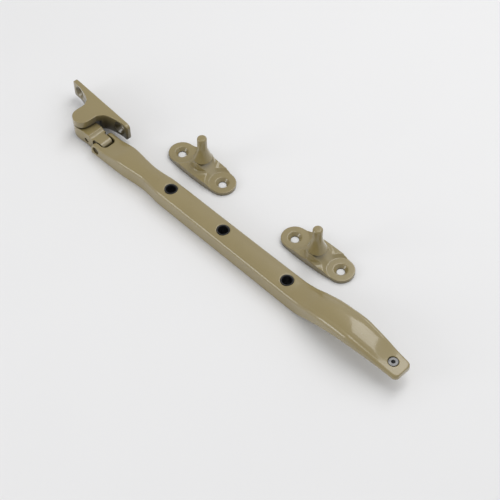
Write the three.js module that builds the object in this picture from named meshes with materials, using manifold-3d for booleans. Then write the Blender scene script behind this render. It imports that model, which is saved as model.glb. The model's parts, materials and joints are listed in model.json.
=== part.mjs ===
// Casement window peg stay: sash bracket, swinging knuckle, slotted arm with three
// bushed peg holes and a raised handle, and two loose peg plates on the same table.
// Millimetres, +Z up, +X along the arm from the bracket to the tip, +Y towards the sash.
// Until the last step the origin is below the lift pin, on the table.
import * as THREE from 'three';
import { mergeVertices } from 'three/addons/utils/BufferGeometryUtils.js';
import Module from 'manifold-3d';

const wasm = await Module();
wasm.setup();

// ---- driving dimensions ---------------------------------------------------------
const ARM_REACH = 249.3;            // lift pin to the end of the handle
const PEG_HOLES = [61.5, 106.7, 159.5];
const LOCK_X = 241.1;               // lock screw in the tip
const BAR_TOP = 11.7;               // straight bar, height of the top corners
const BAR_CROWN = 0.8;              // how far its middle stands above them
const WALL = 2.2;                   // side walls of the bar's channel
const ROOF = 2.8;                   // metal over the channel
const CHANNEL_CORNER = 1.2;
const CHANNEL = [16, 165];
const DISH = [194, 231];            // shallow dish below the handle
const DISH_DEPTH = 2.2;
const HEAD_TOP = 8.7;
const HEAD_HALF = 7.95;
const HEEL_X = -4.3;                // square heels of the two cheeks
const SLOT_HALF = 4.9;
const SLOT_END = 6.15;              // end of the slot, from the pin
const SLOT_CORNER = 3.0;

const PIN_Z = 4.35;                 // lift pin
const PIN_R = 2.0;
const PIN_HALF = 5.4;               // straight part, each side of the middle
const PIN_TAPER = 0.6;
const PIN_DENT_R = 2.6;             // shallow counterbore about each end of the pin
const TONGUE_HALF = 4.15;
const SHOULDER_X = -4.75;           // knuckle face that the heels rest against
const BELOW = 0.3;                  // the knuckle's underside clears the table

const SWING_X = -19.9;              // vertical swing axis, in the middle of the lug
const LUG_R = 6.4;
const LUG_BOTTOM = 11.0;
const BRACKET_TOP = 16.1;
const PLATE_LOW = 3.6;
const PLATE_LENGTH = 55.7;
const PLATE_SHIFT = -0.9;           // middle of the plate, from the swing axis
const PLATE_BACK = 16.9;            // sash face
const PLATE_THICK = 2.8;
const BRACKET_TURN = -3.4;          // the loose bracket lies a little off square to the arm
const SASH_HOLE_OFFSET = 20.8;
const FACE_CORNER_R = 2.6;
const KNUCKLE_TOP = 10.0;
const KNUCKLE_HALF = 5.5;
const RIVET_R = 2.5;
const RIVET_HEAD_R = 3.8;
const RIVET_HEAD = [4.6, 6.0];      // underside and top of the rivet's head
const RIVET_WASHER = [6.15, 6.65];
const RIVET_ROOM = 6.8;             // roof of the pocket for the head and its washer
const LUG_WASHER_R = 5.4;
const DIMPLE = { x: -11.3, z: 3.7, r: 1.9, depth: 1.4 };  // in the knuckle's near side

const PEG_R = 3.05;
const PEG_TOP = 27.8;
const PEG_SPOT = [-0.7, 1.6];       // peg sits off the line of the two screw holes
const PEG_FOOT = 9.95;
const SPIGOT_R = 2.4;
const SPIGOT_HEAD_R = 3.15;         // riveted end below the plate
const EAR_TOP = 2.6;
const PAD_TOP = 4.3;
const EAR_R = 8.5;
const EAR_X = 18.0;                 // screw holes, each side of the middle
const EAR_SEAT_R = 8.65;            // foot of the sloping end of the pad, from each screw
const SEAT_SLOPE = 1.25;            // how far it leans back for each millimetre of height
const PLATE_HALF = 9.5;
const SCREW_R = 2.4;
const SINK_R = 5.2;                 // countersink cutter: wide end, height above the face, depth
const SINK_OVER = 0.9;
const SINK_DEEP = 2.1;
const PLATES = [
  { x: 55.95, y: 30.85, turn: 0.3 },
  { x: 153.5, y: 32.2, turn: 182.5 },
];

const BUSH_R = 3.9;
const BUSH_SLEEVE_R = 3.7;
const BUSH_BORE_R = 3.15;
const BUSH_FLANGE = 1.2;
const BUSH_FOOT = 0.5;
const BUSH_BEVEL = 0.35;            // broken rim of the bore
const BOSS_R = 5.6;
const BOSS_FOOT = 0.4;
const LOCK_LOW = 8.4;               // lock screw: end, seat and head height
const LOCK_SEAT = 12.7;
const LOCK_HEAD = 1.4;
const LOCK_R = 2.4;
const LOCK_HEAD_R = 2.9;
const LOCK_SOCKET = 1.45;           // hexagon, to its corners
const LOCK_SOCKET_DEEP = 2.6;
const LOCK_BOSS_R = 4.6;
const FIT = 0.15;                   // running gap between turning pieces
const ROUND = 36;                   // segments of a full circle
const HOLE_ROUND = 28;              // the same for pins and small holes
const OVER = 1;                     // how far a cutter runs past a face

// ---- solids -----------------------------------------------------------------------
function solid(geometry) {
  const g = geometry.clone();
  g.deleteAttribute('normal');
  g.deleteAttribute('uv');
  const m = mergeVertices(g, 1e-4);
  return new wasm.Manifold(new wasm.Mesh({
    numProp: 3,
    vertProperties: new Float32Array(m.attributes.position.array),
    triVerts: new Uint32Array(m.index.array),
  }));
}

function toMesh(name, body, look) {
  const out = body.getMesh();
  const g = new THREE.BufferGeometry();
  g.setAttribute('position', new THREE.BufferAttribute(new Float32Array(out.vertProperties), 3));
  g.setIndex(new THREE.BufferAttribute(new Uint32Array(out.triVerts), 1));
  const flat = g.toNonIndexed();
  flat.computeVertexNormals();
  const mesh = new THREE.Mesh(flat, new THREE.MeshStandardMaterial(look));
  mesh.name = name;
  return mesh;
}

// Upright cylinder or cone between two heights.
function upright(x, y, z0, z1, r0, r1 = r0, segments = ROUND) {
  const g = new THREE.CylinderGeometry(r1, r0, z1 - z0, segments);
  g.rotateX(Math.PI / 2);
  g.translate(x, y, (z0 + z1) / 2);
  return solid(g);
}

// Cylinder or cone along Y.
function crosswise(x, z, y0, y1, r0, r1 = r0, segments = ROUND) {
  const g = new THREE.CylinderGeometry(r1, r0, y1 - y0, segments);
  g.translate(x, (y0 + y1) / 2, z);
  return solid(g);
}

// Plan outline pulled up from z0 to z1, its edges broken by a small chamfer.
function prism(shape, z0, z1, edge = 0, curveSegments = 10) {
  const g = new THREE.ExtrudeGeometry(shape, {
    depth: z1 - z0 - 2 * edge,
    bevelEnabled: edge > 0,
    bevelThickness: edge,
    bevelSize: edge,
    bevelOffset: -edge,
    bevelSegments: 1,
    curveSegments,
  });
  g.translate(0, 0, z0 + edge);
  return solid(g);
}

// Side outline (x, z) pulled across from -half to +half.
function slab(shape, half, curveSegments = 10) {
  const g = new THREE.ExtrudeGeometry(shape, { depth: 2 * half, bevelEnabled: false, curveSegments });
  g.rotateX(Math.PI / 2);
  g.translate(0, half, 0);
  return solid(g);
}

// Skin over a row of convex rings with equal point counts, closed at both ends.
function loft(rings) {
  const n = rings[0].length;
  const position = rings.flat().flatMap((p) => [p.x, p.y, p.z]);
  const index = [];
  for (let i = 0; i + 1 < rings.length; i += 1) {
    for (let j = 0; j < n; j += 1) {
      const a = i * n + j;
      const b = i * n + (j + 1) % n;
      index.push(a, b, a + n, b, b + n, a + n);
    }
  }
  const last = (rings.length - 1) * n;
  for (let j = 1; j + 1 < n; j += 1) {
    index.push(0, j + 1, j);
    index.push(last, last + j, last + j + 1);
  }
  const g = new THREE.BufferGeometry();
  g.setAttribute('position', new THREE.Float32BufferAttribute(position, 3));
  g.setIndex(index);
  return solid(g);
}

// Smooth value along X through hand-set stations [x, value]; flat at each end.
function along(stations, x) {
  if (x <= stations[0][0]) return stations[0][1];
  const end = stations[stations.length - 1];
  if (x >= end[0]) return end[1];
  const i = stations.findIndex((s) => s[0] > x) - 1;
  const slope = (k) => {
    if (k <= 0 || k >= stations.length - 1) return 0;
    const before = (stations[k][1] - stations[k - 1][1]) / (stations[k][0] - stations[k - 1][0]);
    const after = (stations[k + 1][1] - stations[k][1]) / (stations[k + 1][0] - stations[k][0]);
    return before * after <= 0 ? 0 : (2 * before * after) / (before + after);
  };
  const [x0, v0] = stations[i];
  const [x1, v1] = stations[i + 1];
  const h = x1 - x0;
  const t = (x - x0) / h;
  return v0 * (1 + 2 * t) * (1 - t) ** 2 + v1 * t * t * (3 - 2 * t)
    + h * slope(i) * t * (1 - t) ** 2 - h * slope(i + 1) * t * t * (1 - t);
}

// ---- arm ---------------------------------------------------------------------------
const HALF_WIDTH = [[12, HEAD_HALF], [23.8, 7.7], [33.2, 6.75], [41.8, 6.2], [48.4, 6.6],
  [57.1, 7.45], [107, 7.65], [166, 7.95], [174.5, 8.3], [185, 9.1], [198, 9.75], [211, 9.8],
  [226, 8.7], [241.5, 7.25], [ARM_REACH, 6.9]];
const CORNER_TOP = [[5.5, HEAD_TOP], [22, BAR_TOP], [166, BAR_TOP], [174.5, 12.7], [184.5, 15.6],
  [197.5, 18.3], [210.5, 19.1], [225.5, 17.3], [241, 14.1], [ARM_REACH, 13.1]];
const UNDERSIDE = [[166, 0], [174.5, 1.2], [186, 6.4], [200, 11.0], [214.5, 12.9],
  [229.5, 12.0], [241.5, 10.4], [ARM_REACH, 9.4]];
const CROWN = [[13, 0.2], [28, BAR_CROWN], [168, BAR_CROWN], [198, 1.6], [226, 1.3], [242, 0.4]];
const CORNER_R = [[18, 1.6], [38, 2.2], [168, 2.2], [198, 3.2], [226, 2.6], [242, 1.6]];
const TIP_R = 3.2;

// Half width at X, drawn in towards the end of the tip by its corner radius.
function halfWidth(x) {
  const into = Math.max(0, x - (ARM_REACH - TIP_R));
  return along(HALF_WIDTH, x) - (TIP_R - Math.sqrt(TIP_R ** 2 - Math.min(into, TIP_R) ** 2));
}

// Height of the top corners, rounded down over the cheeks in front of the lift pin.
function cornerTop(x) {
  if (x >= 0) return along(CORNER_TOP, x);
  return PIN_Z + (HEAD_TOP - PIN_Z) * Math.sqrt(Math.max(0, 1 - (x / HEEL_X) ** 2));
}

function armRing(x) {
  const half = halfWidth(x);
  const low = along(UNDERSIDE, x);
  const top = cornerTop(x);
  const r = Math.min(along(CORNER_R, x), (top - low) * 0.45, half * 0.45);
  const crown = along(CROWN, x) * (x < 0 ? 0 : 1);
  const side = [[half - 0.5, low], [half, low + 0.5]];
  for (let k = 0; k <= 4; k += 1) {
    const a = (k / 4) * (Math.PI / 2);
    side.push([half - r + r * Math.cos(a), top - r + r * Math.sin(a)]);
  }
  for (const t of [0.66, 0.33]) side.push([(half - r) * t, top + crown * (1 - t * t)]);
  const middle = [[0, top + crown]];
  const left = side.map(([y, z]) => [-y, z]).reverse();
  return [...side, ...middle, ...left].map(([y, z]) => new THREE.Vector3(x, y, z));
}

function armStations() {
  const xs = [];
  const run = (from, to, count) => {
    for (let i = 0; i < count; i += 1) xs.push(from + ((to - from) * i) / count);
  };
  run(HEEL_X, 0, 5);
  run(0, 6, 1);
  run(6, 24, 5);
  run(24, 58, 8);
  run(58, 165, 2);
  run(165, 241, 22);
  run(241, ARM_REACH - TIP_R, 2);
  run(ARM_REACH - TIP_R, ARM_REACH, 5);
  xs.push(ARM_REACH - 0.02);
  return xs;
}

// Channel below the bar and a shallow dish below the handle, open downwards.
function channel(from, to, count, roofAt) {
  const rings = [];
  for (let i = 0; i <= count; i += 1) {
    const x = from + ((to - from) * i) / count;
    const half = halfWidth(x) - WALL;
    const low = along(UNDERSIDE, x) - OVER;
    const roof = roofAt(x);
    const c = CHANNEL_CORNER;
    const section = [[half, low], [half, roof - c], [half - c, roof],
      [-half + c, roof], [-half, roof - c], [-half, low]];
    rings.push(section.map(([y, z]) => new THREE.Vector3(x, y, z)));
  }
  return loft(rings);
}

// Open end of the head: parallel sides and a round-cornered end.
function slotPlan() {
  const s = new THREE.Shape();
  const c = SLOT_CORNER;
  s.moveTo(HEEL_X - OVER, -SLOT_HALF);
  s.lineTo(SLOT_END - c, -SLOT_HALF);
  s.absarc(SLOT_END - c, -SLOT_HALF + c, c, -Math.PI / 2, 0, false);
  s.absarc(SLOT_END - c, SLOT_HALF - c, c, 0, Math.PI / 2, false);
  s.lineTo(HEEL_X - OVER, SLOT_HALF);
  return s;
}

function makeArm() {
  let body = loft(armStations().map(armRing));
  body = body.subtract(channel(...CHANNEL, 20, (x) => cornerTop(x) - ROOF));
  body = body.subtract(channel(...DISH, 10, (x) => along(UNDERSIDE, x) + DISH_DEPTH));
  for (const x of PEG_HOLES) {
    body = body.add(upright(x, 0, BOSS_FOOT, BAR_TOP - 1, BOSS_R));
    body = body.subtract(upright(x, 0, -OVER, BAR_TOP + 2, BUSH_SLEEVE_R + FIT));
    body = body.subtract(upright(x, 0, BUSH_TOP - BUSH_FLANGE - FIT, BAR_TOP + 2, BUSH_R + FIT));
  }
  body = body.subtract(prism(slotPlan(), -OVER, BAR_TOP + 3, 0, 8));
  const out = HEAD_HALF + OVER;
  const dent = PIN_HALF + PIN_TAPER + 0.1;
  body = body.subtract(crosswise(0, PIN_Z, -out, out, PIN_R + FIT, PIN_R + FIT, HOLE_ROUND));
  body = body.subtract(crosswise(0, PIN_Z, -out, -dent, PIN_DENT_R, PIN_DENT_R, HOLE_ROUND));
  body = body.subtract(crosswise(0, PIN_Z, dent, out, PIN_DENT_R, PIN_DENT_R, HOLE_ROUND));
  body = body.add(upright(LOCK_X, 0, LOCK_LOW - 0.2, LOCK_SEAT - 1, LOCK_BOSS_R));
  body = body.subtract(upright(LOCK_X, 0, 0, 20, LOCK_R + FIT));
  return body.subtract(upright(LOCK_X, 0, LOCK_SEAT, 20, LOCK_HEAD_R + 0.25));
}

// The bushes are flush with the crown of the bar.
const BUSH_TOP = BAR_TOP + BAR_CROWN - 0.05;

function makeBush(x) {
  const b = BUSH_BEVEL;
  let body = upright(x, 0, BUSH_FOOT, BUSH_TOP - BUSH_FLANGE / 2, BUSH_SLEEVE_R);
  body = body.add(upright(x, 0, BUSH_TOP - BUSH_FLANGE, BUSH_TOP, BUSH_R));
  body = body.subtract(upright(x, 0, -OVER, BUSH_TOP + OVER, BUSH_BORE_R));
  return body.subtract(upright(x, 0, BUSH_TOP - b, BUSH_TOP + b, BUSH_BORE_R, BUSH_BORE_R + 2 * b));
}

// Screw with a hexagon socket, its head just below the rim of its pocket.
function makeLockScrew() {
  const top = LOCK_SEAT + LOCK_HEAD;
  return upright(LOCK_X, 0, LOCK_LOW, LOCK_SEAT + 2 * FIT, LOCK_R)
    .add(upright(LOCK_X, 0, LOCK_SEAT + FIT, top, LOCK_HEAD_R))
    .subtract(upright(LOCK_X, 0, top - LOCK_SOCKET_DEEP, top + OVER, LOCK_SOCKET, LOCK_SOCKET, 6));
}

// ---- lift pin and knuckle -----------------------------------------------------------
function makeLiftPin() {
  const end = PIN_HALF + PIN_TAPER;
  return crosswise(0, PIN_Z, -PIN_HALF, PIN_HALF, PIN_R, PIN_R, HOLE_ROUND)
    .add(crosswise(0, PIN_Z, -end, -PIN_HALF + 0.1, PIN_R - PIN_TAPER, PIN_R, HOLE_ROUND))
    .add(crosswise(0, PIN_Z, PIN_HALF - 0.1, end, PIN_R, PIN_R - PIN_TAPER, HOLE_ROUND));
}

// Side view of the knuckle: round nose, low tongue, ramp up to the block below the lug.
function knuckleSide() {
  const nose = PIN_Z - BELOW;
  const back = SWING_X - LUG_R;
  const s = new THREE.Shape();
  s.moveTo(0, BELOW);
  s.absarc(0, PIN_Z, nose, -Math.PI / 2, Math.PI / 2, false);
  s.lineTo(SHOULDER_X - 0.5, PIN_Z + nose);
  s.quadraticCurveTo(SHOULDER_X - 2.4, PIN_Z + nose, SHOULDER_X - 3.5, KNUCKLE_TOP);
  s.lineTo(back, KNUCKLE_TOP);
  s.lineTo(back, KNUCKLE_TOP - 2.2);
  s.quadraticCurveTo(back + 0.6, BELOW, SWING_X + 7, BELOW);
  return s;
}

// Plan of the knuckle: tongue, shoulders, and the barrel about the swing axis.
function knucklePlan() {
  const barrel = LUG_R - 0.3;
  const blend = SWING_X + 6.5;
  const nose = PIN_Z - BELOW + 0.2;
  const s = new THREE.Shape();
  s.moveTo(1, -TONGUE_HALF);
  s.quadraticCurveTo(nose, -TONGUE_HALF, nose, -TONGUE_HALF + 1.8);
  s.lineTo(nose, TONGUE_HALF - 1.8);
  s.quadraticCurveTo(nose, TONGUE_HALF, 1, TONGUE_HALF);
  s.lineTo(SHOULDER_X, TONGUE_HALF);
  s.lineTo(SHOULDER_X, KNUCKLE_HALF);
  s.lineTo(blend, KNUCKLE_HALF);
  s.quadraticCurveTo(SWING_X + 3.3, barrel, SWING_X, barrel);
  s.absarc(SWING_X, 0, barrel, Math.PI / 2, (3 * Math.PI) / 2, false);
  s.quadraticCurveTo(SWING_X + 3.3, -barrel, blend, -KNUCKLE_HALF);
  s.lineTo(SHOULDER_X, -KNUCKLE_HALF);
  s.lineTo(SHOULDER_X, -TONGUE_HALF);
  return s;
}

function makeKnuckle() {
  return slab(knuckleSide(), LUG_R + OVER, 12)
    .intersect(prism(knucklePlan(), -OVER, KNUCKLE_TOP + OVER, 0, 12))
    .subtract(crosswise(0, PIN_Z, -LUG_R, LUG_R, PIN_R + FIT, PIN_R + FIT, HOLE_ROUND))
    .subtract(upright(SWING_X, 0, -OVER, KNUCKLE_TOP + OVER, RIVET_R + FIT))
    .subtract(upright(SWING_X, 0, -OVER, RIVET_ROOM, RIVET_HEAD_R + 2 * FIT))
    .subtract(crosswise(DIMPLE.x, DIMPLE.z, -KNUCKLE_HALF - OVER, -KNUCKLE_HALF + DIMPLE.depth,
      DIMPLE.r, DIMPLE.r - 0.4, HOLE_ROUND));
}

// Rivet set in the lug from below, its head inside the knuckle.
function makeSwingRivet() {
  const [low, high] = RIVET_HEAD;
  return upright(SWING_X, 0, (low + high) / 2, BRACKET_TOP - 1.4, RIVET_R)
    .add(upright(SWING_X, 0, low, high, RIVET_HEAD_R - 0.6, RIVET_HEAD_R));
}

// Flat ring about the rivet.
function washer(z0, z1, outer) {
  return upright(SWING_X, 0, z0, z1, outer)
    .subtract(upright(SWING_X, 0, z0 - OVER, z1 + OVER, RIVET_R + FIT));
}

// ---- sash bracket ----------------------------------------------------------------------
// Front edge of the bracket in plan: plate, long concave flare, and the lug or a flat.
function bracketPlan(withLug) {
  const left = SWING_X + PLATE_SHIFT - PLATE_LENGTH / 2;
  const right = left + PLATE_LENGTH;
  const front = PLATE_BACK - PLATE_THICK;
  const s = new THREE.Shape();
  s.moveTo(left, PLATE_BACK);
  s.lineTo(left, front + 1.2);
  s.quadraticCurveTo(left + 0.1, front + 0.2, left + 1.4, front);
  s.lineTo(SWING_X - 22, front);
  s.quadraticCurveTo(SWING_X - 9.2, front - 1.9, SWING_X - LUG_R - 1.5, front - 5.2);
  if (withLug) {
    s.quadraticCurveTo(SWING_X - LUG_R, front - 7.1, SWING_X - LUG_R, front - 9.3);
    s.lineTo(SWING_X - LUG_R, 0);
    s.absarc(SWING_X, 0, LUG_R, Math.PI, 2 * Math.PI, false);
    s.lineTo(SWING_X + LUG_R, front - 9.3);
    s.quadraticCurveTo(SWING_X + LUG_R, front - 7.1, SWING_X + LUG_R + 1.5, front - 5.2);
  } else {
    s.lineTo(SWING_X + LUG_R + 1.5, front - 5.2);
  }
  s.quadraticCurveTo(SWING_X + 9.2, front - 1.9, SWING_X + 22, front);
  s.lineTo(right - 1.4, front);
  s.quadraticCurveTo(right - 0.1, front + 0.2, right, front + 1.2);
  s.lineTo(right, PLATE_BACK);
  return s;
}

// Side view of the bracket: a strip with rounded corners.
function bracketFace() {
  const left = SWING_X + PLATE_SHIFT - PLATE_LENGTH / 2;
  const right = left + PLATE_LENGTH;
  const r = FACE_CORNER_R;
  const s = new THREE.Shape();
  s.absarc(left + r, PLATE_LOW + r, r, Math.PI, (3 * Math.PI) / 2, false);
  s.absarc(right - r, PLATE_LOW + r, r, -Math.PI / 2, 0, false);
  s.absarc(right - r, BRACKET_TOP - r, r, 0, Math.PI / 2, false);
  s.absarc(left + r, BRACKET_TOP - r, r, Math.PI / 2, Math.PI, false);
  return s;
}

function makeBracket() {
  let body = prism(bracketPlan(false), PLATE_LOW, BRACKET_TOP, 0, 10);
  body = body.add(prism(bracketPlan(true), LUG_BOTTOM, BRACKET_TOP, 0, 12));
  body = body.intersect(slab(bracketFace(), PLATE_BACK + OVER, 6));
  const middle = (PLATE_LOW + BRACKET_TOP) / 2;
  const front = PLATE_BACK - PLATE_THICK;
  for (const side of [-1, 1]) {
    const x = SWING_X + PLATE_SHIFT + side * SASH_HOLE_OFFSET;
    body = body.subtract(crosswise(x, middle, 0, PLATE_BACK + OVER, SCREW_R, SCREW_R, HOLE_ROUND));
    body = body.subtract(crosswise(x, middle, front - SINK_OVER, front + SINK_DEEP,
      SINK_R, SCREW_R - 0.1, HOLE_ROUND));
  }
  body = body.subtract(upright(SWING_X, 0, LUG_BOTTOM - OVER, BRACKET_TOP - 1.1, RIVET_R + 0.1));
  return body.translate([-SWING_X, 0, 0]).rotate([0, 0, BRACKET_TURN]).translate([SWING_X, 0, 0]);
}

// ---- peg plates --------------------------------------------------------------------------
function boat() {
  const s = new THREE.Shape();
  const peak = 2 * PLATE_HALF - EAR_R;
  const lean = Math.atan2(peak - EAR_R, EAR_X);
  s.moveTo(EAR_X + EAR_R * Math.sin(lean), EAR_R * Math.cos(lean));
  s.quadraticCurveTo(0, peak, -EAR_X - EAR_R * Math.sin(lean), EAR_R * Math.cos(lean));
  s.absarc(-EAR_X, 0, EAR_R, Math.PI / 2 + lean, (3 * Math.PI) / 2 - lean, false);
  s.quadraticCurveTo(0, -peak, EAR_X + EAR_R * Math.sin(lean), -EAR_R * Math.cos(lean));
  s.absarc(EAR_X, 0, EAR_R, -Math.PI / 2 + lean, Math.PI / 2 - lean, false);
  return s;
}

// Solid turned about the peg's upright axis from [radius, height] points.
function turned(profile) {
  const g = new THREE.LatheGeometry(profile.map(([r, z]) => new THREE.Vector2(r, z)), ROUND);
  g.rotateX(Math.PI / 2);
  g.translate(...PEG_SPOT, 0);
  return solid(g);
}

// Boss that the peg stands on: it flares out into the pad and stops at the plate's edge.
const BOSS_PROFILE = [[0, PAD_TOP - 1], [10, PAD_TOP - 1], [10, PAD_TOP + 0.03], [8.5, 4.7],
  [7.5, 5.6], [7.0, 7.0], [6.6, 8.6], [6.3, PEG_FOOT - FIT], [0, PEG_FOOT - FIT]];
// Peg: a hollow-sided cone up to a plain round end.
const PEG_PROFILE = [[0, PEG_FOOT], [6.1, PEG_FOOT], [5.6, 11.0], [5.0, 12.4], [4.4, 14.0],
  [3.85, 15.8], [3.4, 17.6], [3.15, 19.2], [PEG_R, 20.8], [PEG_R, PEG_TOP - 0.7],
  [PEG_R - 0.7, PEG_TOP], [0, PEG_TOP]];

function makePegPlate() {
  let body = prism(boat(), 0, PAD_TOP, 0.35, 9);
  body = body.add(turned(BOSS_PROFILE).intersect(prism(boat(), PAD_TOP - 1.2, PEG_FOOT, 0, 9)));
  for (const side of [-1, 1]) {
    const x = side * EAR_X;
    const rise = PEG_FOOT + OVER - EAR_TOP;
    const lip = EAR_SEAT_R + rise * SEAT_SLOPE;
    body = body.subtract(upright(x, 0, EAR_TOP, EAR_TOP + rise, EAR_SEAT_R, lip, 60));
    body = body.subtract(upright(x, 0, -OVER, EAR_TOP + OVER, SCREW_R, SCREW_R, HOLE_ROUND));
    body = body.subtract(upright(x, 0, EAR_TOP - SINK_DEEP, EAR_TOP + SINK_OVER,
      SCREW_R - 0.1, SINK_R, HOLE_ROUND));
  }
  const [x, y] = PEG_SPOT;
  const hole = SPIGOT_R + FIT;
  body = body.subtract(upright(x, y, -OVER, PEG_FOOT + OVER, hole, hole, HOLE_ROUND));
  return body.subtract(upright(x, y, -0.4, 1.2, SPIGOT_HEAD_R + 0.75, SPIGOT_R - 0.1, HOLE_ROUND));
}

// Peg with the spigot that passes through the plate and is riveted over below it.
function makePeg() {
  const [x, y] = PEG_SPOT;
  return turned(PEG_PROFILE)
    .add(upright(x, y, 0.5, PEG_FOOT + 0.5, SPIGOT_R, SPIGOT_R, HOLE_ROUND))
    .add(upright(x, y, 0.15, 1.0, SPIGOT_HEAD_R, SPIGOT_R - 0.1, HOLE_ROUND));
}

function place(body, { x, y, turn }) {
  return body.rotate([0, 0, turn]).translate([x, y, 0]);
}

// ---- looks -------------------------------------------------------------------------------
const PAINT = { color: 0x968964, roughness: 0.38, metalness: 0.35 };
const NYLON = { color: 0x17171a, roughness: 0.55, metalness: 0.0 };
const ZINC = { color: 0x8e9092, roughness: 0.35, metalness: 0.9 };
const STEEL = { color: 0x8a8c8e, roughness: 0.4, metalness: 0.9 };

const group = new THREE.Group();
const put = (name, body, look) => group.add(toMesh(name, body, look));

put('sash_bracket', makeBracket(), PAINT);
put('swing_rivet', makeSwingRivet(), STEEL);
put('lug_washer', washer(KNUCKLE_TOP + FIT, LUG_BOTTOM - FIT, LUG_WASHER_R), NYLON);
put('rivet_washer', washer(...RIVET_WASHER, RIVET_HEAD_R), STEEL);
put('knuckle', makeKnuckle(), PAINT);
put('lift_pin', makeLiftPin(), STEEL);
put('arm', makeArm(), PAINT);
PEG_HOLES.forEach((x, i) => put(`bush_${i + 1}`, makeBush(x), NYLON));
put('lock_screw', makeLockScrew(), ZINC);
PLATES.forEach((spot, i) => {
  put(`peg_plate_${i + 1}`, place(makePegPlate(), spot), PAINT);
  put(`peg_${i + 1}`, place(makePeg(), spot), PAINT);
});

// Origin to the middle of the bounding box, on the table.
const box = new THREE.Box3().setFromObject(group);
const middle = box.getCenter(new THREE.Vector3());
for (const mesh of group.children) mesh.geometry.translate(-middle.x, -middle.y, -box.min.z);

export default group;
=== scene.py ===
import json
import math

import bmesh
import bpy
from mathutils import Matrix, Vector


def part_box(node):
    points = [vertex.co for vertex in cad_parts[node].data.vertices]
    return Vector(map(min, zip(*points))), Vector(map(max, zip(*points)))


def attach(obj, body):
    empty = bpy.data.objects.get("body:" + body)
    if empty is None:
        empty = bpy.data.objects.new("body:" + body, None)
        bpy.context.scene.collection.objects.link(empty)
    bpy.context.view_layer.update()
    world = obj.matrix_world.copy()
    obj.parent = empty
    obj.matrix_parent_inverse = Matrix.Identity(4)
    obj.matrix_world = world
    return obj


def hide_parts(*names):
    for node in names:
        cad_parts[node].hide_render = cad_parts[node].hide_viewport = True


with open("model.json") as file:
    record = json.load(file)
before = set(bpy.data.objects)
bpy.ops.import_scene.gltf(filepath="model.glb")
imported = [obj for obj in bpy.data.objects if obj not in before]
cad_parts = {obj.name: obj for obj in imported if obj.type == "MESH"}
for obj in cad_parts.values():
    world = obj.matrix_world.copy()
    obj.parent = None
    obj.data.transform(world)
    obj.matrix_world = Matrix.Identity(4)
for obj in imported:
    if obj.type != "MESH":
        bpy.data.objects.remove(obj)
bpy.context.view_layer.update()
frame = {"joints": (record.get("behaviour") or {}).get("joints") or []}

MM = 0.001

# ---- where things are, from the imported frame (millimetres) -------------------------


def joint_place(name):
    return Vector(next(j for j in frame["joints"] if j["name"] == name)["pos_m"]) / MM


def middle_of(node):
    low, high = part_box(node)
    return (low + high) / (2 * MM)


LIFT = joint_place("lift")
SWING_X = joint_place("swing").x - LIFT.x
LOCK_X = joint_place("lock_turn").x - LIFT.x
PIN_Z = LIFT.z

# ---- sizes in millimetres; x and y are measured from the lift pin ------------------
REACH = 249.3
BAR_TOP = 11.7
BAR_CROWN = 0.8
WALL = 2.2
ROOF = 2.8
CHANNEL = (16, 165)
CHANNEL_CORNER = 1.2
DISH = (194, 231)
DISH_DEPTH = 2.2
HEAD_TOP = 8.7
HEEL_X = -4.3
SLOT_HALF = 4.9
SLOT_END = 6.15
SLOT_CORNER = 3.0
TIP_R = 3.2
HALF_WIDTH = [(12, 7.95), (23.8, 7.7), (33.2, 6.75), (41.8, 6.2), (48.4, 6.6), (57.1, 7.45),
              (107, 7.65), (166, 7.95), (174.5, 8.3), (185, 9.1), (198, 9.75), (211, 9.8),
              (226, 8.7), (241.5, 7.25), (REACH, 6.9)]
CORNER_TOP = [(5.5, HEAD_TOP), (22, BAR_TOP), (166, BAR_TOP), (174.5, 12.7), (184.5, 15.6),
              (197.5, 18.3), (210.5, 19.1), (225.5, 17.3), (241, 14.1), (REACH, 13.1)]
UNDERSIDE = [(166, 0), (174.5, 1.2), (186, 6.4), (200, 11.0), (214.5, 12.9), (229.5, 12.0),
             (241.5, 10.4), (REACH, 9.4)]
CROWN = [(13, 0.2), (28, BAR_CROWN), (168, BAR_CROWN), (198, 1.6), (226, 1.3), (242, 0.4)]
CORNER_R = [(18, 1.6), (38, 2.2), (168, 2.2), (198, 3.2), (226, 2.6), (242, 1.6)]
PIN_R = 2.0
PIN_HALF = 6.0
PIN_DENT_R = 2.6
TONGUE_HALF = 4.15
SHOULDER_X = -4.75
BELOW = 0.3
LUG_R = 6.4
LUG_BOTTOM = 11.0
BRACKET_TOP = 16.1
BRACKET_TURN = math.radians(-3.4)
PLATE_LOW = 3.6
PLATE_LENGTH = 55.7
PLATE_SHIFT = -0.9
PLATE_BACK = 16.9
PLATE_THICK = 2.8
SASH_HOLE = 20.8
FACE_R = 2.6
KNUCKLE_TOP = 10.0
KNUCKLE_HALF = 5.5
RIVET_R = 2.5
RIVET_HEAD_R = 3.8
RIVET_HEAD = (4.6, 6.0)
RIVET_WASHER = (6.15, 6.65)
RIVET_ROOM = 6.8
LUG_WASHER_R = 5.4
DIMPLE_X, DIMPLE_Z, DIMPLE_R, DIMPLE_DEPTH = -11.3, 3.7, 1.9, 1.4
PEG_R = 3.05
PEG_TOP = 27.8
PEG_FOOT = 9.95
SPIGOT_R = 2.4
SPIGOT_HEAD_R = 3.15
EAR_TOP = 2.6
PAD_TOP = 4.3
EAR_R = 8.5
EAR_X = 18.0
SEAT_R = 8.65
SEAT_SLOPE = 1.25
PLATE_HALF = 9.5
PLATE_TURN = (math.radians(0.3), math.radians(182.5))
SCREW_R = 2.4
SINK_R = 5.2
SINK_OVER = 0.9
SINK_DEEP = 2.1
BUSH_TOP = BAR_TOP + BAR_CROWN - 0.05
BUSH_R = 3.9
BUSH_SLEEVE_R = 3.7
BUSH_BORE_R = 3.15
BUSH_FLANGE = 1.2
BUSH_FOOT = 0.5
BUSH_BEVEL = 0.35
BOSS_R = 5.6
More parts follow.
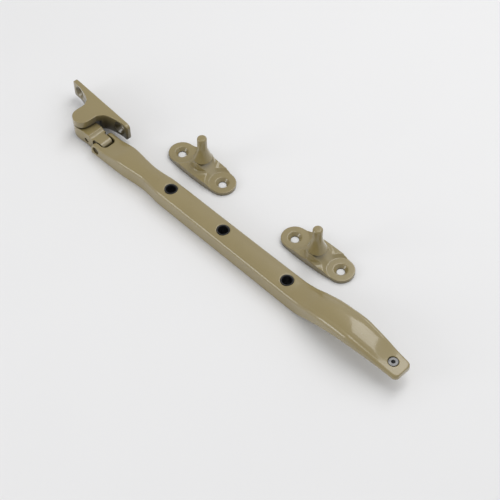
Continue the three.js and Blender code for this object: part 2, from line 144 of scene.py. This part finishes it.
BOSS_FOOT = 0.4
LOCK_LOW = 8.4
LOCK_SEAT = 12.7
LOCK_HEAD = 1.4
LOCK_R = 2.4
LOCK_HEAD_R = 2.9
SOCKET_R = 1.45
SOCKET_DEEP = 2.6
THREAD_PITCH = 0.4
THREAD_DEEP = 0.25
LOCK_BOSS_R = 4.6
FIT = 0.15
ROUND = 96
# Boss below the peg and the peg itself, as (radius, height) points.
BOSS_PROFILE = [(0, PAD_TOP - 1), (10, PAD_TOP - 1), (10, PAD_TOP + 0.03), (8.5, 4.7), (7.5, 5.6),
                (7.0, 7.0), (6.6, 8.6), (6.3, PEG_FOOT - FIT), (0, PEG_FOOT - FIT)]
PEG_PROFILE = [(0, 0.15), (SPIGOT_HEAD_R, 0.15), (SPIGOT_R - 0.1, 1.0), (SPIGOT_R, 1.2),
               (SPIGOT_R, PEG_FOOT), (6.1, PEG_FOOT), (5.6, 11.0), (5.0, 12.4), (4.4, 14.0),
               (3.85, 15.8), (3.4, 17.6), (3.15, 19.2), (PEG_R, 20.8), (PEG_R, PEG_TOP - 0.8),
               (PEG_R - 0.8, PEG_TOP), (0, PEG_TOP)]

# ---- mesh helpers ------------------------------------------------------------------


def keep(bm, name):
    bmesh.ops.recalc_face_normals(bm, faces=bm.faces)
    mesh = bpy.data.meshes.new(name)
    bm.to_mesh(mesh)
    bm.free()
    obj = bpy.data.objects.new(name, mesh)
    bpy.context.scene.collection.objects.link(obj)
    return obj


def skin(rings, name="tool"):
    """Closed skin over rings of points with equal counts."""
    bm = bmesh.new()
    rows = [[bm.verts.new(p) for p in ring] for ring in rings]
    count = len(rows[0])
    for a, b in zip(rows, rows[1:]):
        for i in range(count):
            j = (i + 1) % count
            bm.faces.new((a[i], a[j], b[j], b[i]))
    bm.faces.new(rows[0])
    bm.faces.new(rows[-1])
    return keep(bm, name)


def prism(plan, low, high, name="tool"):
    return skin([[(x, y, z) for x, y in plan] for z in (low, high)], name)


def slab(side, half, name="tool"):
    return skin([[(x, y, z) for x, z in side] for y in (-half, half)], name)


def turned(profile, place, axis="Z", name="tool"):
    """Solid turned from (radius, distance along the axis) points, ending on the axis."""
    bm = bmesh.new()
    rows = []
    for radius, along_axis in profile:
        if radius < 1e-6:
            rows.append([bm.verts.new((0, 0, along_axis))])
            continue
        rows.append([bm.verts.new((radius * math.cos(a), radius * math.sin(a), along_axis))
                     for a in (2 * math.pi * k / ROUND for k in range(ROUND))])
    for a, b in zip(rows, rows[1:]):
        for i in range(ROUND):
            j = (i + 1) % ROUND
            if len(a) == 1:
                bm.faces.new((a[0], b[i], b[j]))
            elif len(b) == 1:
                bm.faces.new((a[i], b[0], a[j]))
            else:
                bm.faces.new((a[i], a[j], b[j], b[i]))
    if axis == "Y":
        bmesh.ops.rotate(bm, verts=bm.verts, matrix=Matrix.Rotation(-math.pi / 2, 3, "X"))
    bmesh.ops.translate(bm, verts=bm.verts, vec=place)
    return keep(bm, name)


def cone(place, low, high, r0, r1=None, axis="Z"):
    r1 = r0 if r1 is None else r1
    return turned([(0, low), (r0, low), (r1, high), (0, high)], place, axis)


def settle(obj):
    graph = bpy.context.evaluated_depsgraph_get()
    mesh = bpy.data.meshes.new_from_object(obj.evaluated_get(graph))
    obj.modifiers.clear()
    old, obj.data = obj.data, mesh
    bpy.data.meshes.remove(old)
    return obj


def combine(obj, how, *tools):
    for tool in tools:
        step = obj.modifiers.new("combine", "BOOLEAN")
        step.operation = how
        step.solver = "MANIFOLD"
        step.object = tool
    settle(obj)
    for tool in tools:
        bpy.data.objects.remove(tool)
    return obj


def cast(obj, voxel, passes):
    """Even mesh with the soft edges of a coated casting."""
    step = obj.modifiers.new("skin", "REMESH")
    step.mode = "VOXEL"
    step.voxel_size = voxel
    soft = obj.modifiers.new("soft", "SMOOTH")
    soft.factor = 0.5
    soft.iterations = passes
    return settle(obj)


def rounded(profile, radius, steps=4):
    """Breaks the corners of a profile with short arcs; its first and last points stay."""
    points = [Vector(p) for p in profile]
    out = [points[0]]
    for before, corner, after in zip(points, points[1:], points[2:]):
        into, away = corner - before, after - corner
        if into.angle(away, 0) < math.radians(20):
            out.append(corner)
            continue
        reach = min(radius, into.length * 0.45, away.length * 0.45)
        a = corner - into.normalized() * reach
        b = corner + away.normalized() * reach
        for k in range(steps + 1):
            t = k / steps
            out.append(a * (1 - t) ** 2 + corner * (2 * t * (1 - t)) + b * t * t)
    out.append(points[-1])
    return [(p.x, p.y) for p in out]


def arc(x, y, radius, start, end, steps=14):
    return [(x + radius * math.cos(a), y + radius * math.sin(a))
            for a in (math.radians(start + (end - start) * k / steps) for k in range(steps + 1))]


def curve(a, b, c, steps=14):
    """Points of a quadratic curve, without its first one."""
    a, b, c = Vector(a), Vector(b), Vector(c)
    return [tuple(a * (1 - t) ** 2 + b * (2 * t * (1 - t)) + c * t * t)
            for t in ((k + 1) / steps for k in range(steps))]


def along(stations, x):
    """Smooth value through given stations (x, value); flat at each end."""
    if x <= stations[0][0]:
        return stations[0][1]
    if x >= stations[-1][0]:
        return stations[-1][1]
    i = next(k for k, s in enumerate(stations) if s[0] > x) - 1

    def slope(k):
        if k <= 0 or k >= len(stations) - 1:
            return 0.0
        (xa, va), (xb, vb), (xc, vc) = stations[k - 1:k + 2]
        before, after = (vb - va) / (xb - xa), (vc - vb) / (xc - xb)
        return 0.0 if before * after <= 0 else 2 * before * after / (before + after)

    (x0, v0), (x1, v1) = stations[i], stations[i + 1]
    h = x1 - x0
    t = (x - x0) / h
    return (v0 * (1 + 2 * t) * (1 - t) ** 2 + v1 * t * t * (3 - 2 * t)
            + h * slope(i) * t * (1 - t) ** 2 - h * slope(i + 1) * t * t * (1 - t))


# ---- arm ---------------------------------------------------------------------------


def half_width(x):
    into = min(max(0.0, x - (REACH - TIP_R)), TIP_R)
    return along(HALF_WIDTH, x) - (TIP_R - math.sqrt(TIP_R ** 2 - into ** 2))


def corner_top(x):
    if x >= 0:
        return along(CORNER_TOP, x)
    return PIN_Z + (HEAD_TOP - PIN_Z) * math.sqrt(max(0.0, 1 - (x / HEEL_X) ** 2))


def arm_ring(x):
    half, low, top = half_width(x), along(UNDERSIDE, x), corner_top(x)
    r = min(along(CORNER_R, x), (top - low) * 0.45, half * 0.45)
    crown = along(CROWN, x) if x >= 0 else 0.0
    side = [(half - 0.5, low), (half, low + 0.5)]
    side += arc(half - r, top - r, r, 0, 90, 8)
    flat = half - r
    side += [(flat * t, top + crown * (1 - t * t)) for t in (0.8, 0.6, 0.4, 0.2)]
    ring = side + [(0, top + crown)] + [(-y, z) for y, z in reversed(side)]
    return [(x, y, z) for y, z in ring]


def stations(first, last, step):
    count = math.ceil((last - first) / step)
    return [first + (last - first) * k / count for k in range(count + 1)]


def trough(first, last, roof_at):
    rings = []
    for x in stations(first, last, 2.0):
        half, low, roof = half_width(x) - WALL, along(UNDERSIDE, x) - 1, roof_at(x)
        section = [(half, low), (half, roof - CHANNEL_CORNER), (half - CHANNEL_CORNER, roof)]
        section += [(-y, z) for y, z in reversed(section)]
        rings.append([(x, y, z) for y, z in section])
    return skin(rings)


def slot_plan():
    mid = SLOT_END - SLOT_CORNER
    side = SLOT_HALF - SLOT_CORNER
    return ([(HEEL_X - 1, -SLOT_HALF)] + arc(mid, -side, SLOT_CORNER, -90, 0)
            + arc(mid, side, SLOT_CORNER, 0, 90) + [(HEEL_X - 1, SLOT_HALF)])


def bush_places():
    return [middle_of(f"bush_{i}") - LIFT for i in (1, 2, 3)]


def arm_casting():
    xs = stations(HEEL_X, 0, 0.3) + stations(0.4, REACH - TIP_R, 1.2)
    xs += [REACH - TIP_R * (1 - math.sin(math.radians(a))) for a in (12, 24, 36, 48, 60, 72, 82)]
    body = skin([arm_ring(x) for x in xs], "arm_casting")
    combine(body, "DIFFERENCE", trough(*CHANNEL, lambda x: corner_top(x) - ROOF),
            trough(*DISH, lambda x: along(UNDERSIDE, x) + DISH_DEPTH))
    bosses = [cone((p.x, 0, 0), BOSS_FOOT, BAR_TOP - 1, BOSS_R) for p in bush_places()]
    bosses.append(cone((LOCK_X, 0, 0), LOCK_LOW - 0.2, LOCK_SEAT - 1, LOCK_BOSS_R))
    combine(body, "UNION", *bosses)
    cuts = []
    for p in bush_places():
        cuts.append(cone((p.x, 0, 0), -1, BAR_TOP + 2, BUSH_SLEEVE_R + FIT))
        cuts.append(cone((p.x, 0, 0), BUSH_TOP - BUSH_FLANGE - 0.2, BAR_TOP + 2, BUSH_R + FIT))
    cuts.append(prism(slot_plan(), -1, BAR_TOP + 3))
    cuts.append(cone((0, 0, PIN_Z), -9, 9, PIN_R + FIT, axis="Y"))
    for side in (-1, 1):
        low, high = sorted((side * (PIN_HALF + 0.1), side * 9))
        cuts.append(cone((0, 0, PIN_Z), low, high, PIN_DENT_R, axis="Y"))
    cuts.append(cone((LOCK_X, 0, 0), 0, 20, LOCK_R + FIT))
    cuts.append(cone((LOCK_X, 0, 0), LOCK_SEAT, 20, LOCK_HEAD_R + 0.25))
    combine(body, "DIFFERENCE", *cuts)
    return cast(body, 0.3, 5)


def bush(i):
    p = middle_of(f"bush_{i}") - LIFT
    bore, shoulder = BUSH_BORE_R, BUSH_TOP - BUSH_FLANGE
    outside = [(bore, BUSH_FOOT), (BUSH_SLEEVE_R, BUSH_FOOT), (BUSH_SLEEVE_R, shoulder),
               (BUSH_R, shoulder), (BUSH_R, BUSH_TOP), (bore + BUSH_BEVEL, BUSH_TOP),
               (bore, BUSH_TOP - BUSH_BEVEL)]
    loop = rounded(outside + [outside[0]], 0.14)[:-1]
    bm = bmesh.new()
    rows = [[bm.verts.new((r * math.cos(a), r * math.sin(a), z)) for r, z in loop]
            for a in (2 * math.pi * k / ROUND for k in range(ROUND))]
    for a, b in zip(rows, rows[1:] + rows[:1]):
        for j in range(len(loop)):
            n = (j + 1) % len(loop)
            bm.faces.new((a[j], b[j], b[n], a[n]))
    bmesh.ops.translate(bm, verts=bm.verts, vec=(p.x, 0, 0))
    return keep(bm, f"bush_{i}_sleeve")


def lift_pin():
    e = PIN_HALF
    profile = [(0, -e), (PIN_R - 0.5, -e), (PIN_R, -e + 0.6),
               (PIN_R, e - 0.6), (PIN_R - 0.5, e), (0, e)]
    return turned(rounded(profile, 0.3), (0, 0, PIN_Z), "Y", "lift_pin_turned")


def lock_screw():
    high = LOCK_SEAT + LOCK_HEAD
    z = LOCK_LOW + THREAD_PITCH
    profile = [(0, LOCK_LOW), (LOCK_R - THREAD_PITCH, LOCK_LOW), (LOCK_R, z)]
    while z < LOCK_SEAT - 0.5:
        profile += [(LOCK_R - THREAD_DEEP, z + THREAD_PITCH / 2), (LOCK_R, z + THREAD_PITCH)]
        z += THREAD_PITCH
    profile += [(LOCK_R, LOCK_SEAT + FIT), (LOCK_HEAD_R, LOCK_SEAT + FIT),
                (LOCK_HEAD_R, high), (0, high)]
    body = turned(rounded(profile, 0.18), (LOCK_X, 0, 0), "Z", "lock_screw_socket")
    hexagon = [(LOCK_X + SOCKET_R * math.cos(a), SOCKET_R * math.sin(a))
               for a in (math.radians(60 * k + 10) for k in range(6))]
    return combine(body, "DIFFERENCE", prism(hexagon, high - SOCKET_DEEP, high + 1))


# ---- knuckle -----------------------------------------------------------------------


def knuckle_side():
    nose = PIN_Z - BELOW
    back = SWING_X - LUG_R
    side = arc(0, PIN_Z, nose, -90, 90, 28)
    side.append((SHOULDER_X - 0.5, PIN_Z + nose))
    side += curve(side[-1], (SHOULDER_X - 2.4, PIN_Z + nose), (SHOULDER_X - 3.5, KNUCKLE_TOP))
    side += [(back, KNUCKLE_TOP), (back, KNUCKLE_TOP - 2.2)]
    return side + curve(side[-1], (back + 0.6, BELOW), (SWING_X + 7, BELOW))


def knuckle_plan():
    barrel = LUG_R - 0.3
    blend = SWING_X + 6.5
    nose = PIN_Z - BELOW + 0.2
    t = TONGUE_HALF
    plan = [(1, -t)] + curve((1, -t), (nose, -t), (nose, 1.8 - t))
    plan += [(nose, t - 1.8)] + curve((nose, t - 1.8), (nose, t), (1, t))
    plan += [(SHOULDER_X, t), (SHOULDER_X, KNUCKLE_HALF), (blend, KNUCKLE_HALF)]
    plan += curve(plan[-1], (SWING_X + 3.3, barrel), (SWING_X, barrel))
    plan += arc(SWING_X, 0, barrel, 90, 270, 28)[1:]
    plan += curve(plan[-1], (SWING_X + 3.3, -barrel), (blend, -KNUCKLE_HALF))
    return plan + [(SHOULDER_X, -KNUCKLE_HALF), (SHOULDER_X, -t)]


def knuckle_casting():
    body = slab(knuckle_side(), LUG_R + 1, "knuckle_casting")
    combine(body, "INTERSECT", prism(knuckle_plan(), -1, KNUCKLE_TOP + 1))
    combine(body, "DIFFERENCE", cone((0, 0, PIN_Z), -8, 8, PIN_R + FIT, axis="Y"),
            cone((SWING_X, 0, 0), -1, KNUCKLE_TOP + 1, RIVET_R + FIT),
            cone((SWING_X, 0, 0), -1, RIVET_ROOM, RIVET_HEAD_R + 2 * FIT),
            cone((DIMPLE_X, 0, DIMPLE_Z), -KNUCKLE_HALF - 1, -KNUCKLE_HALF + DIMPLE_DEPTH,
                 DIMPLE_R, DIMPLE_R - 0.4, "Y"))
    return cast(body, 0.22, 4)


def swing_rivet():
    low, high = RIVET_HEAD
    end = BRACKET_TOP - 1.4
    profile = [(0, low), (RIVET_HEAD_R - 0.6, low), (RIVET_HEAD_R, high), (RIVET_R, high),
               (RIVET_R, end), (0, end)]
    return turned(rounded(profile, 0.3), (SWING_X, 0, 0), "Z", "swing_rivet_turned")


def washer(name, low, high, outer):
    body = turned(rounded([(0, low), (outer, low), (outer, high), (0, high)], 0.1),
                  (SWING_X, 0, 0), "Z", name)
    return combine(body, "DIFFERENCE", cone((SWING_X, 0, 0), low - 1, high + 1, RIVET_R + FIT))


# ---- sash bracket ------------------------------------------------------------------


def bracket_ends():
    left = SWING_X + PLATE_SHIFT - PLATE_LENGTH / 2
    return left, left + PLATE_LENGTH


def bracket_plan(with_lug):
    left, right = bracket_ends()
    front = PLATE_BACK - PLATE_THICK
    wing = LUG_R + 1.5
    plan = [(left, PLATE_BACK), (left, front + 1.2)]
    plan += curve(plan[-1], (left + 0.1, front + 0.2), (left + 1.4, front), 6)
    plan.append((SWING_X - 22, front))
    plan += curve(plan[-1], (SWING_X - 9.2, front - 1.9), (SWING_X - wing, front - 5.2))
    if with_lug:
        plan += curve(plan[-1], (SWING_X - LUG_R, front - 7.1), (SWING_X - LUG_R, front - 9.3))
        plan += arc(SWING_X, 0, LUG_R, 180, 360, 36)
        plan.append((SWING_X + LUG_R, front - 9.3))
        plan += curve(plan[-1], (SWING_X + LUG_R, front - 7.1), (SWING_X + wing, front - 5.2))
    else:
        plan.append((SWING_X + wing, front - 5.2))
    plan += curve(plan[-1], (SWING_X + 9.2, front - 1.9), (SWING_X + 22, front))
    plan.append((right - 1.4, front))
    plan += curve(plan[-1], (right - 0.1, front + 0.2), (right, front + 1.2), 6)
    return plan + [(right, PLATE_BACK)]


def bracket_face():
    left, right = bracket_ends()
    r, low, high = FACE_R, PLATE_LOW, BRACKET_TOP
    return (arc(left + r, low + r, r, 180, 270, 8) + arc(right - r, low + r, r, 270, 360, 8)
            + arc(right - r, high - r, r, 0, 90, 8) + arc(left + r, high - r, r, 90, 180, 8))


def bracket_casting():
    body = prism(bracket_plan(False), PLATE_LOW, BRACKET_TOP, "bracket_casting")
    combine(body, "UNION", prism(bracket_plan(True), LUG_BOTTOM, BRACKET_TOP))
    combine(body, "INTERSECT", slab(bracket_face(), PLATE_BACK + 1))
    mid = (PLATE_LOW + BRACKET_TOP) / 2
    front = PLATE_BACK - PLATE_THICK
    cuts = [cone((SWING_X, 0, 0), LUG_BOTTOM - 1, BRACKET_TOP - 1.1, RIVET_R + 0.1)]
    for side in (-1, 1):
        place = (SWING_X + PLATE_SHIFT + side * SASH_HOLE, 0, mid)
        cuts.append(cone(place, front - 6, PLATE_BACK + 1, SCREW_R, axis="Y"))
        cuts.append(cone(place, front - SINK_OVER, front + SINK_DEEP, SINK_R, SCREW_R - 0.1, "Y"))
    combine(body, "DIFFERENCE", *cuts)
    cast(body, 0.25, 4)
    axis = Vector((SWING_X, 0, 0))
    turn = Matrix.Rotation(BRACKET_TURN, 4, "Z")
    body.data.transform(Matrix.Translation(axis) @ turn @ Matrix.Translation(-axis))
    return body


# ---- peg plates --------------------------------------------------------------------


def boat():
    """Plan of a peg plate: two round ears joined by bowed sides."""
    peak = 2 * PLATE_HALF - EAR_R
    lean = math.degrees(math.atan2(peak - EAR_R, EAR_X))
    right = arc(EAR_X, 0, EAR_R, lean - 90, 90 - lean, 36)
    left = arc(-EAR_X, 0, EAR_R, 90 + lean, 270 - lean, 36)
    far = curve(right[-1], (0, peak), left[0], 24)[:-1]
    near = curve(left[-1], (0, -peak), right[0], 24)[:-1]
    return right + far + left + near


def plate_casting(i):
    centre = middle_of(f"peg_plate_{i}") - LIFT
    turn = PLATE_TURN[i - 1]
    x, y = Matrix.Rotation(-turn, 2) @ (middle_of(f"peg_{i}") - LIFT - centre).xy
    body = prism(boat(), 0, PAD_TOP, f"peg_plate_{i}_casting")
    flare = turned(BOSS_PROFILE, (x, y, 0))
    combine(flare, "INTERSECT", prism(boat(), PAD_TOP - 1.2, PEG_FOOT))
    combine(body, "UNION", flare)
    rise = PEG_FOOT + 1 - EAR_TOP
    cuts = []
    for ear in ((-EAR_X, 0, 0), (EAR_X, 0, 0)):
        cuts.append(cone(ear, EAR_TOP, EAR_TOP + rise, SEAT_R, SEAT_R + rise * SEAT_SLOPE))
        cuts.append(cone(ear, -1, EAR_TOP + 1, SCREW_R))
        cuts.append(cone(ear, EAR_TOP - SINK_DEEP, EAR_TOP + SINK_OVER, SCREW_R - 0.1, SINK_R))
    cuts.append(cone((x, y, 0), -1, PEG_FOOT + 1, SPIGOT_R + FIT))
    cuts.append(cone((x, y, 0), -0.4, 1.2, SPIGOT_HEAD_R + 0.75, SPIGOT_R - 0.1))
    combine(body, "DIFFERENCE", *cuts)
    cast(body, 0.22, 5)
    place = Matrix.Translation((centre.x, centre.y, 0))
    body.data.transform(place @ Matrix.Rotation(turn, 4, "Z"))
    return body


def peg_post(i):
    p = middle_of(f"peg_{i}") - LIFT
    return turned(rounded(PEG_PROFILE, 0.35), (p.x, p.y, 0), "Z", f"peg_{i}_post")


# ---- materials ---------------------------------------------------------------------


class Recipe:
    """Short way to build a procedural material on one Principled shader."""

    def __init__(self, name):
        self.material = bpy.data.materials.new(name)
        self.material.use_nodes = True
        self.tree = self.material.node_tree
        self.shader = self.tree.nodes["Principled BSDF"]
        self.where = self.add("ShaderNodeTexCoord").outputs["Object"]

    def add(self, kind, inputs=None, **settings):
        node = self.tree.nodes.new(kind)
        for key, value in settings.items():
            setattr(node, key, value)
        for key, value in (inputs or {}).items():
            self.put(node.inputs[key], value)
        return node

    def put(self, socket, value):
        if isinstance(value, bpy.types.NodeSocket):
            self.tree.links.new(value, socket)
        else:
            socket.default_value = value

    def noise(self, size_mm, detail=4.0, rough=0.55):
        node = self.add("ShaderNodeTexNoise", {"Vector": self.where, "Scale": 1 / (size_mm * MM),
                                               "Detail": detail, "Roughness": rough})
        return node.outputs["Fac"]

    def spread(self, value, low, high, out_low, out_high):
        node = self.add("ShaderNodeMapRange", {"Value": value, "From Min": low, "From Max": high,
                                               "To Min": out_low, "To Max": out_high})
        return node.outputs["Result"]

    def mix(self, share, a, b):
        node = self.add("ShaderNodeMix", data_type="RGBA")
        self.put(node.inputs["Factor"], share)
        self.put(node.inputs[6], a)
        self.put(node.inputs[7], b)
        return node.outputs[2]

    def bumps(self, *layers):
        normal = None
        for height, distance_mm, strength in layers:
            inputs = {"Height": height, "Distance": distance_mm * MM, "Strength": strength}
            if normal is not None:
                inputs["Normal"] = normal
            normal = self.add("ShaderNodeBump", inputs).outputs["Normal"]
        self.put(self.shader.inputs["Normal"], normal)

    def recess(self, reach_mm, low, high, alone):
        """Painted shade from ambient occlusion: nearly 1 deep in a recess; alone leaves out the shade
        of the other pieces.
        """
        shade = self.add("ShaderNodeAmbientOcclusion", {"Distance": reach_mm * MM},
                         samples=8, only_local=alone)
        return self.spread(shade.outputs["AO"], low, high, 1.0, 0.0)

    def edge(self, low, high):
        shape = self.add("ShaderNodeNewGeometry").outputs["Pointiness"]
        return self.spread(shape, low, high, 0.0, 1.0)


PAINT_MAIN = (0.256, 0.201, 0.080, 1)
PAINT_DEEP = (0.230, 0.178, 0.068, 1)
PAINT_WORN = (0.335, 0.290, 0.160, 1)
# near-black brown of the shade painted into recesses
PAINT_SHADE = (0.045, 0.036, 0.016, 1)


def paint(name, reach_mm, dark_shade, open_shade, alone=False):
    """Satin bronze-olive coat with shade painted into its recesses; the shades say where the painted
    shade is full and where it ends.
    """
    r = Recipe(name)
    cloud = r.spread(r.noise(26, 3), 0.35, 0.65, 0.0, 0.6)
    base = r.mix(cloud, PAINT_MAIN, PAINT_DEEP)
    speck = r.spread(r.noise(0.6, 2), 0.6, 0.72, 0.0, 0.2)
    base = r.mix(speck, base, PAINT_WORN)
    patchy = r.spread(r.noise(4, 4), 0.4, 0.6, 0.1, 0.6)
    worn = r.add("ShaderNodeMath", {0: r.edge(0.53, 0.60), 1: patchy}, operation="MULTIPLY").outputs[0]
    base = r.mix(worn, base, PAINT_WORN)
    # painted shade: the base colour darkens towards near-black where ambient occlusion finds a recess
    # or, unless alone, a nearby piece
    painted_shade = r.recess(reach_mm, dark_shade, open_shade, alone)
    r.put(r.shader.inputs["Base Color"], r.mix(painted_shade, base, PAINT_SHADE))
    r.put(r.shader.inputs["Roughness"], r.spread(r.noise(9, 4), 0.3, 0.7, 0.34, 0.42))
    r.put(r.shader.inputs["Metallic"], 0.0)
    r.put(r.shader.inputs["IOR"], 1.5)
    r.put(r.shader.inputs["Coat Weight"], 1.0)
    r.put(r.shader.inputs["Coat Roughness"], 0.12)
    r.bumps((r.noise(1.1, 3), 0.02, 0.16), (r.noise(7, 2), 0.05, 0.12))
    return r.material


def nylon():
    r = Recipe("black_nylon")
    r.put(r.shader.inputs["Base Color"],
          r.mix(r.noise(2.5, 3), (0.007, 0.007, 0.008, 1), (0.016, 0.016, 0.017, 1)))
    r.put(r.shader.inputs["Roughness"], r.spread(r.noise(1.5, 3), 0.3, 0.7, 0.36, 0.5))
    r.bumps((r.noise(0.5, 3), 0.02, 0.3))
    return r.material


def plated(name, colour, dark, rough):
    r = Recipe(name)
    dull = r.spread(r.noise(1.8, 4), 0.35, 0.7, 0, 1)
    r.put(r.shader.inputs["Base Color"], r.mix(dull, colour, dark))
    r.put(r.shader.inputs["Metallic"], 0.85)
    r.put(r.shader.inputs["Roughness"], r.spread(r.noise(0.8, 3), 0.3, 0.7, rough - 0.06, rough + 0.08))
    r.bumps((r.noise(0.35, 2), 0.02, 0.25))
    return r.material


def paper():
    r = Recipe("studio_paper")
    r.put(r.shader.inputs["Base Color"],
          r.mix(r.noise(90, 2), (0.80, 0.80, 0.805, 1), (0.785, 0.785, 0.79, 1)))
    r.put(r.shader.inputs["Roughness"], r.spread(r.noise(40, 2), 0.3, 0.7, 0.75, 0.85))
    r.bumps((r.noise(1.5, 3), 0.02, 0.1))
    return r.material


# ---- the set -----------------------------------------------------------------------


def finish_piece(obj, material, slot, body, *nodes):
    obj.data.transform(Matrix.Translation((LIFT.x * MM, LIFT.y * MM, 0)) @ Matrix.Scale(MM, 4))
    obj.data.materials.clear()
    obj.data.materials.append(material)
    obj.data.shade_smooth()
    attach(obj, body)
    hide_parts(*nodes)


def crisp(obj, angle=35):
    """Smooth shading that keeps the sharp corners of turned and cut metal."""
    obj.data.shade_smooth()
    obj.data.set_sharp_from_angle(angle=math.radians(angle))


def build():
    # the three coats differ only in the shade painted into recesses: the bracket's reaches furthest and
    # is darkest, and the arm's counts only its own hollows
    coat = paint("powder_coat", 10, 0.25, 0.78)
    arm_coat = paint("powder_coat_arm", 12, 0.25, 0.85, alone=True)
    bracket_coat_deep_shade = paint("powder_coat_bracket_deep_shade", 18, 0.5, 0.96)
    black = nylon()
    zinc = plated("zinc_plate", (0.34, 0.34, 0.335, 1), (0.22, 0.22, 0.22, 1), 0.6)
    steel = plated("dark_steel", (0.09, 0.08, 0.065, 1), (0.05, 0.045, 0.04, 1), 0.5)
    finish_piece(arm_casting(), arm_coat, "paint", "arm", "arm")
    finish_piece(knuckle_casting(), coat, "paint", "knuckle", "knuckle")
    finish_piece(bracket_casting(), bracket_coat_deep_shade, "paint", "bracket", "sash_bracket")
    for i in (1, 2):
        finish_piece(plate_casting(i), coat, "paint", "bracket", f"peg_plate_{i}")
        post = peg_post(i)
        finish_piece(post, coat, "paint", "bracket", f"peg_{i}")
        crisp(post)
    for i in (1, 2, 3):
        sleeve = bush(i)
        finish_piece(sleeve, black, "nylon", "arm", f"bush_{i}")
        crisp(sleeve)
    turned_pieces = (
        (lift_pin(), steel, "steel", "arm", "lift_pin"),
        (lock_screw(), zinc, "steel", "lock_screw", "lock_screw"),
        (swing_rivet(), steel, "steel", "bracket", "swing_rivet"),
        (washer("lug_washer_ring", KNUCKLE_TOP + FIT, LUG_BOTTOM - FIT, LUG_WASHER_R),
         black, "nylon", "bracket", "lug_washer"),
        (washer("rivet_washer_ring", *RIVET_WASHER, RIVET_HEAD_R),
         steel, "steel", "bracket", "rivet_washer"),
    )
    for piece in turned_pieces:
        finish_piece(*piece)
        crisp(piece[0])


# ---- studio ------------------------------------------------------------------------
AIM = Vector((LIFT.x + 121.81, LIFT.y + 7.14, 0)) * MM
HANDLE = Vector((LIFT.x + 220, LIFT.y, 17)) * MM
AZIMUTH = math.radians(45.95)
ELEVATION = math.radians(52)
DISTANCE = 0.8929
ROLL = math.radians(1.0)
LENS = 108
ROOM_LIGHT = 0.63
FLOOR_REACH = 2.5


def camera():
    data = bpy.data.cameras.new("studio_camera")
    data.lens = LENS
    data.sensor_width = 36
    data.clip_end = 10
    cam = bpy.data.objects.new("studio_camera", data)
    bpy.context.scene.collection.objects.link(cam)
    back = Vector((math.sin(AZIMUTH) * math.cos(ELEVATION), -math.cos(AZIMUTH) * math.cos(ELEVATION),
                   math.sin(ELEVATION)))
    right0 = Vector((math.cos(AZIMUTH), math.sin(AZIMUTH), 0))
    up0 = back.cross(right0)
    right = right0 * math.cos(ROLL) - up0 * math.sin(ROLL)
    up = right0 * math.sin(ROLL) + up0 * math.cos(ROLL)
    turn = Matrix((right, up, back)).transposed().to_4x4()
    cam.matrix_world = Matrix.Translation(AIM + back * DISTANCE) @ turn
    bpy.context.scene.camera = cam


def room(strength):
    world = bpy.data.worlds.new("studio_room")
    bpy.context.scene.world = world
    world.use_nodes = True
    ground = world.node_tree.nodes["Background"]
    ground.inputs["Color"].default_value = (1.0, 1.0, 1.0, 1)
    ground.inputs["Strength"].default_value = strength


def floor():
    bm = bmesh.new()
    corners = [bm.verts.new((AIM.x + a * FLOOR_REACH, AIM.y + b * FLOOR_REACH, 0))
               for a, b in ((-1, -1), (1, -1), (1, 1), (-1, 1))]
    bm.faces.new(corners)
    sheet = keep(bm, "studio_floor")
    sheet.data.materials.append(paper())


def panel(name, centre, direction, distance, width, height, radiance):
    """Soft panel seen from centre in one direction, given by how bright its face is."""
    place = centre + Vector(direction).normalized() * distance
    data = bpy.data.lights.new(name, "AREA")
    data.shape = "RECTANGLE"
    data.size = width
    data.size_y = height
    data.energy = radiance * math.pi * width * height
    light = bpy.data.objects.new(name, data)
    bpy.context.scene.collection.objects.link(light)
    turn = (place - centre).to_track_quat("Z", "Y").to_matrix().to_4x4()
    light.matrix_world = Matrix.Translation(place) @ turn


def studio():
    floor()
    room(ROOM_LIGHT)
    panel("overhead_panel", HANDLE, (-0.145, 0.42, 0.875), 0.95, 0.43, 0.95, 2.8)
    panel("right_fill", AIM, (0.75, 0.45, 0.9), 1.6, 0.9, 0.9, 0.8)
    panel("left_panel", AIM, (-0.41, -0.86, 0.32), 0.95, 0.42, 0.42, 3.7)
    camera()
    bpy.context.scene.view_settings.view_transform = "Standard"


build()
studio()
